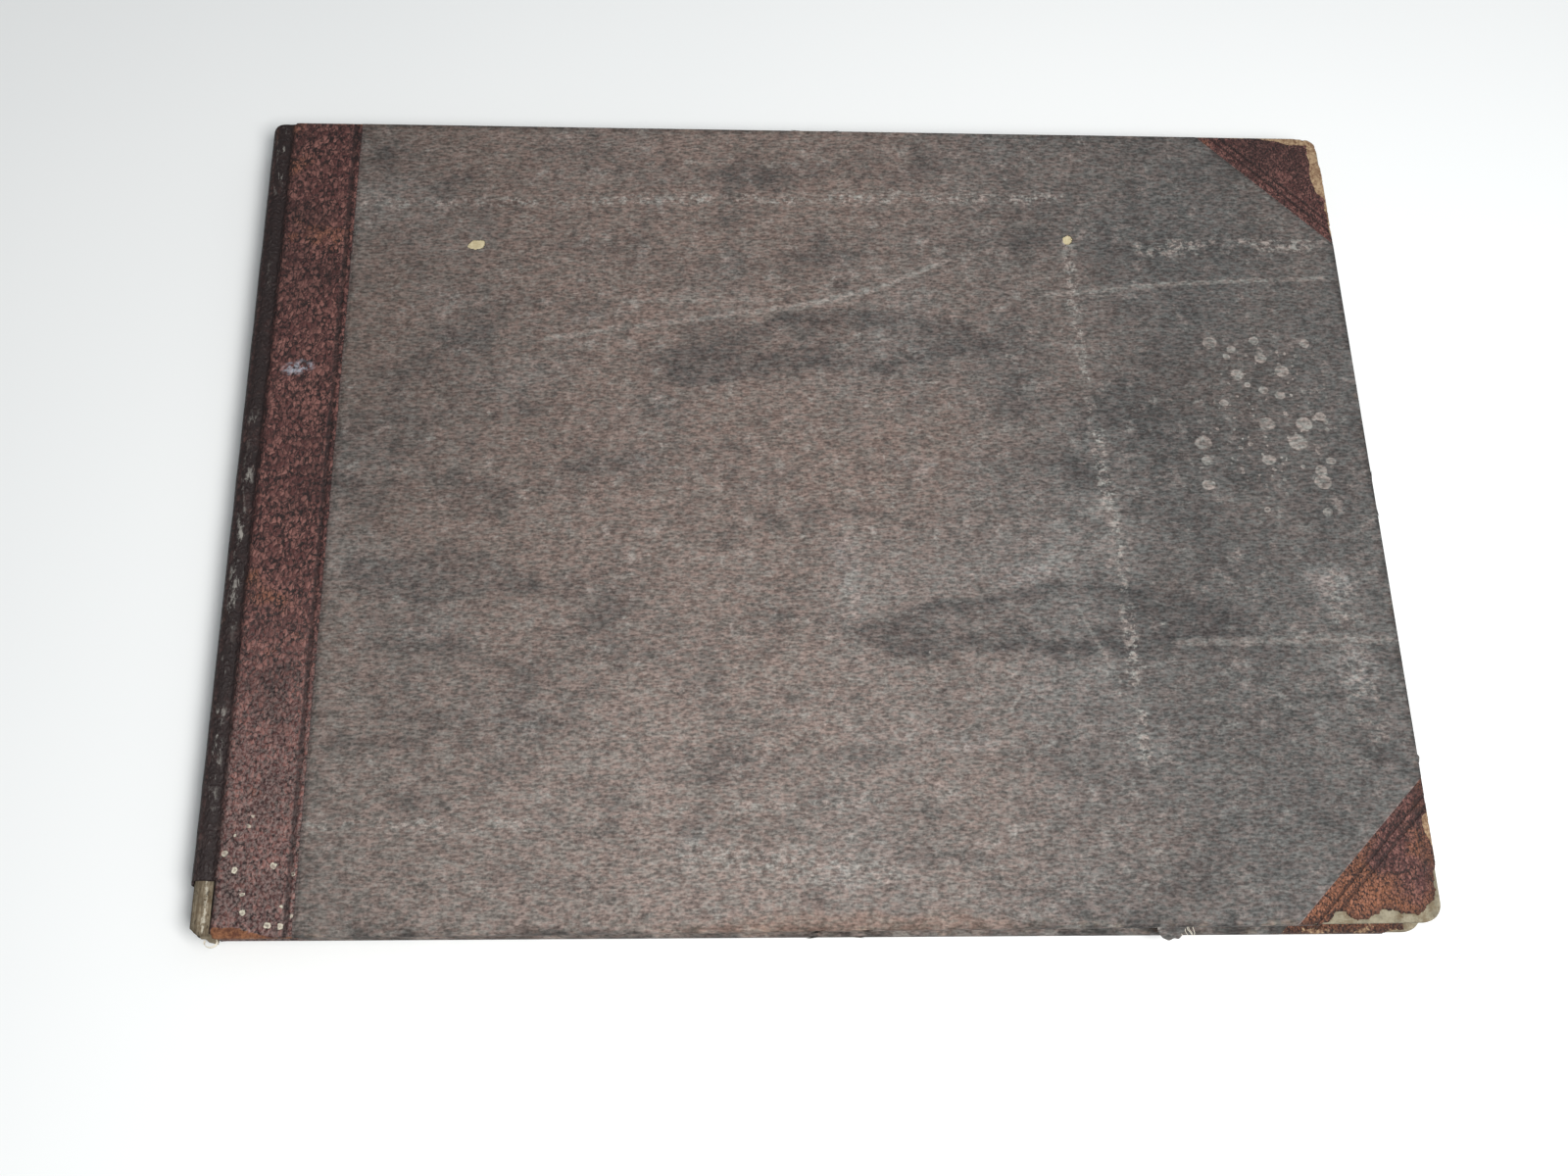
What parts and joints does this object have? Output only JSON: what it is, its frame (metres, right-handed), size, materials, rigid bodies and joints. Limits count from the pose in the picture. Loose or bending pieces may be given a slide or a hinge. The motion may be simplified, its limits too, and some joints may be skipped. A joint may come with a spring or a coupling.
{
  "type": "scrapbook album",
  "caption": "Antique oblong half-leather scrapbook album with cloth sides, leather corners, card leaves on linen guards and two hinged boards.",
  "frame": {"origin": "middle of the underside of the closed album", "axes": "+X from the spine to the fore-edge, +Y from the tail to the head, +Z out of the front cover"},
  "size_m": [0.38, 0.2903, 0.0144],
  "materials": {
    "maroon_leather": "pebbled, rubbed matt",
    "book_cloth": "fine ribbed, worn matt",
    "binders_board": "matt, fibrous",
    "kraft_paper": "matt",
    "endpaper": "matt, aged",
    "leaf_card": "smooth matt, aged",
    "linen": "plain weave",
    "thread": "waxed linen"
  },
  "bodies": {
    "spine_block": {"spine_leather": "maroon_leather", "spine_card": "binders_board", "spine_hollow_lining": "kraft_paper", "spine_mull": "linen", "spine_tapes": "linen", "binding_stubs": "leaf_card", "sewing_thread": "thread"},
    "front_cover": {"front_board": "binders_board", "front_joint_leather": "maroon_leather", "front_head_corner_leather": "maroon_leather", "front_tail_corner_leather": "maroon_leather", "front_cloth": "book_cloth", "front_board_infill": "kraft_paper", "front_tape_slips": "linen", "front_pastedown": "endpaper"},
    "front_endpaper": {"front_free_endpaper": "endpaper"},
    "back_cover": {"back_board": "binders_board", "back_joint_leather": "maroon_leather", "back_head_corner_leather": "maroon_leather", "back_tail_corner_leather": "maroon_leather", "back_cloth": "book_cloth", "back_board_infill": "kraft_paper", "back_tape_slips": "linen", "back_pastedown": "endpaper"},
    "back_endpaper": {"back_free_endpaper": "endpaper"},
    "leaf_01": {"leaf_01": "leaf_card", "leaf_01_linen_hinge": "linen"},
    "leaf_02": {"leaf_02": "leaf_card", "leaf_02_linen_hinge": "linen"},
    "leaf_03": {"leaf_03": "leaf_card", "leaf_03_linen_hinge": "linen"},
    "leaf_04": {"leaf_04": "leaf_card", "leaf_04_linen_hinge": "linen"},
    "leaf_05": {"leaf_05": "leaf_card", "leaf_05_linen_hinge": "linen"},
    "leaf_06": {"leaf_06": "leaf_card", "leaf_06_linen_hinge": "linen"},
    "leaf_07": {"leaf_07": "leaf_card", "leaf_07_linen_hinge": "linen"},
    "leaf_08": {"leaf_08": "leaf_card", "leaf_08_linen_hinge": "linen"},
    "leaf_09": {"leaf_09": "leaf_card", "leaf_09_linen_hinge": "linen"},
    "leaf_10": {"leaf_10": "leaf_card", "leaf_10_linen_hinge": "linen"}
  },
  "joints": [
    {"name": "front_cover_hinge", "type": "hinge", "parent": "spine_block", "child": "front_cover", "pos_m": [-0.1825, 0, 0.01436], "axis": [0, -1, 0], "range_deg": [0, 180]},
    {"name": "back_cover_hinge", "type": "hinge", "parent": "spine_block", "child": "back_cover", "pos_m": [-0.1825, 0, 0], "axis": [0, 1, 0], "range_deg": [0, 180]},
    {"name": "front_endpaper_hinge", "type": "hinge", "parent": "spine_block", "child": "front_endpaper", "pos_m": [-0.1825, 0, 0.01436], "axis": [0, -1, 0], "range_deg": [0, 179.1]},
    {"name": "leaf_01_hinge", "type": "hinge", "parent": "spine_block", "child": "leaf_01", "pos_m": [-0.1825, 0, 0.01436], "axis": [0, -1, 0], "range_deg": [0, 177.3]},
    {"name": "leaf_02_hinge", "type": "hinge", "parent": "spine_block", "child": "leaf_02", "pos_m": [-0.1825, 0, 0.01436], "axis": [0, -1, 0], "range_deg": [0, 175.5]},
    {"name": "leaf_03_hinge", "type": "hinge", "parent": "spine_block", "child": "leaf_03", "pos_m": [-0.1825, 0, 0.01436], "axis": [0, -1, 0], "range_deg": [0, 173.7]},
    {"name": "leaf_04_hinge", "type": "hinge", "parent": "spine_block", "child": "leaf_04", "pos_m": [-0.1825, 0, 0.01436], "axis": [0, -1, 0], "range_deg": [0, 171.9]},
    {"name": "leaf_05_hinge", "type": "hinge", "parent": "spine_block", "child": "leaf_05", "pos_m": [-0.1825, 0, 0.01436], "axis": [0, -1, 0], "range_deg": [0, 170.1]},
    {"name": "leaf_06_hinge", "type": "hinge", "parent": "spine_block", "child": "leaf_06", "pos_m": [-0.1825, 0, 0.01436], "axis": [0, -1, 0], "range_deg": [0, 9]},
    {"name": "leaf_07_hinge", "type": "hinge", "parent": "spine_block", "child": "leaf_07", "pos_m": [-0.1825, 0, 0.01436], "axis": [0, -1, 0], "range_deg": [0, 7.2]},
    {"name": "leaf_08_hinge", "type": "hinge", "parent": "spine_block", "child": "leaf_08", "pos_m": [-0.1825, 0, 0.01436], "axis": [0, -1, 0], "range_deg": [0, 5.4]},
    {"name": "leaf_09_hinge", "type": "hinge", "parent": "spine_block", "child": "leaf_09", "pos_m": [-0.1825, 0, 0.01436], "axis": [0, -1, 0], "range_deg": [0, 3.6]},
    {"name": "leaf_10_hinge", "type": "hinge", "parent": "spine_block", "child": "leaf_10", "pos_m": [-0.1825, 0, 0.01436], "axis": [0, -1, 0], "range_deg": [0, 1.8]},
    {"name": "back_endpaper_hinge", "type": "hinge", "parent": "spine_block", "child": "back_endpaper", "pos_m": [-0.1825, 0, 0], "axis": [0, 1, 0], "range_deg": [0, 9]}
  ],
  "couplings": [
    {"joint": "front_endpaper_hinge", "follows": "front_cover_hinge", "ratio": 0.995},
    {"joint": "leaf_01_hinge", "follows": "front_cover_hinge", "ratio": 0.985},
    {"joint": "leaf_02_hinge", "follows": "front_cover_hinge", "ratio": 0.975},
    {"joint": "leaf_03_hinge", "follows": "front_cover_hinge", "ratio": 0.965},
    {"joint": "leaf_04_hinge", "follows": "front_cover_hinge", "ratio": 0.955},
    {"joint": "leaf_05_hinge", "follows": "front_cover_hinge", "ratio": 0.945},
    {"joint": "leaf_06_hinge", "follows": "front_cover_hinge", "ratio": 0.05},
    {"joint": "leaf_07_hinge", "follows": "front_cover_hinge", "ratio": 0.04},
    {"joint": "leaf_08_hinge", "follows": "front_cover_hinge", "ratio": 0.03},
    {"joint": "leaf_09_hinge", "follows": "front_cover_hinge", "ratio": 0.02},
    {"joint": "leaf_10_hinge", "follows": "front_cover_hinge", "ratio": 0.01},
    {"joint": "back_endpaper_hinge", "follows": "back_cover_hinge", "ratio": 0.05}
  ]
}
